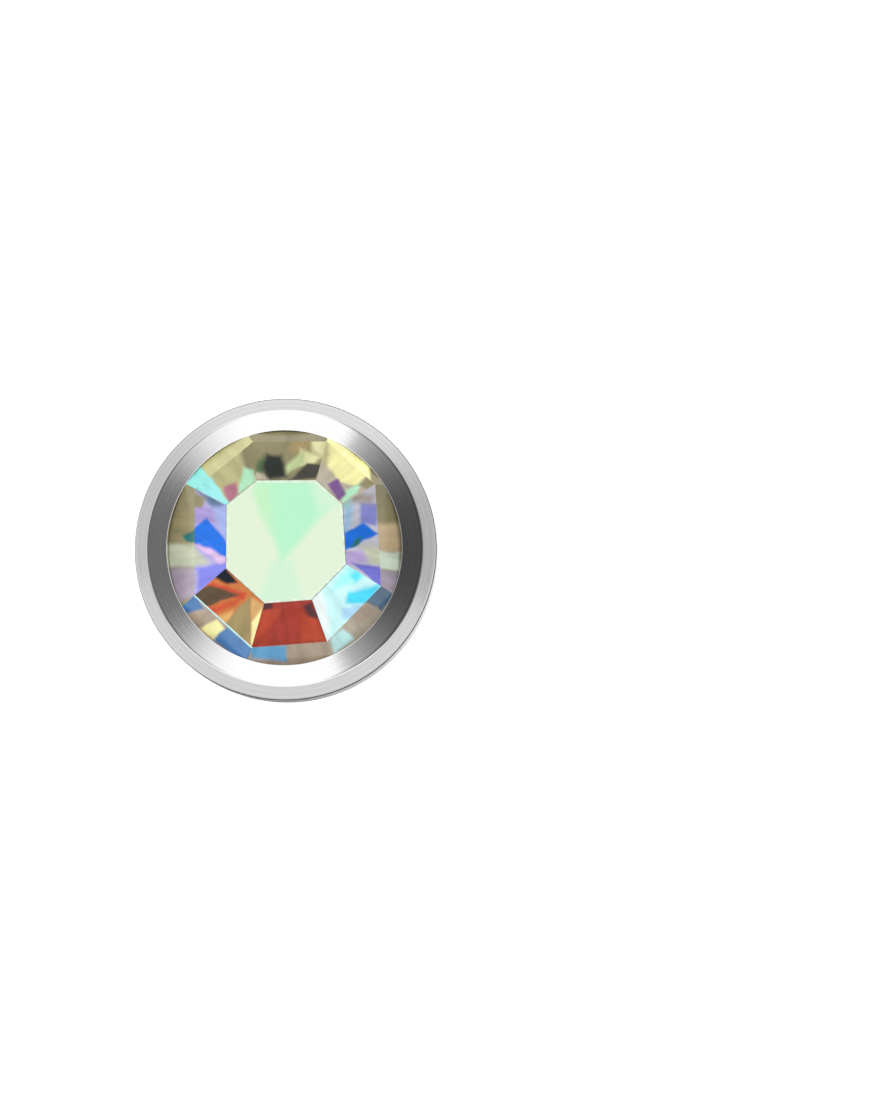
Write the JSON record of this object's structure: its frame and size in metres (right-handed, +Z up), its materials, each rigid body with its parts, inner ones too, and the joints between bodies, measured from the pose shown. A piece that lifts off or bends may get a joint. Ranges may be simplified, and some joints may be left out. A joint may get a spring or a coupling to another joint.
{
  "type": "dermal anchor top",
  "caption": "Round polished metal head with a faceted iridescent crystal set behind a sloping bezel face, and a short threaded post at its back.",
  "frame": {"origin": "on the surface that the top lies on, under the middle of its bounding box", "axes": "+Z up; the top lies on its rim and on the tip of its post, with the crystal facing up and towards -Y; X runs across the head"},
  "size_m": [0.006, 0.005, 0.005],
  "materials": {
    "polished_steel": "mirror-polished surgical steel, with fine turned lines on the shoulder",
    "coated_crystal": "cut glass with a rainbow coating, foiled behind",
    "turned_steel": "bright surgical steel as turned"
  },
  "bodies": {
    "root": {"bezel_cup": "polished_steel", "crystal": "coated_crystal", "threaded_post": "turned_steel"}
  },
  "joints": []
}
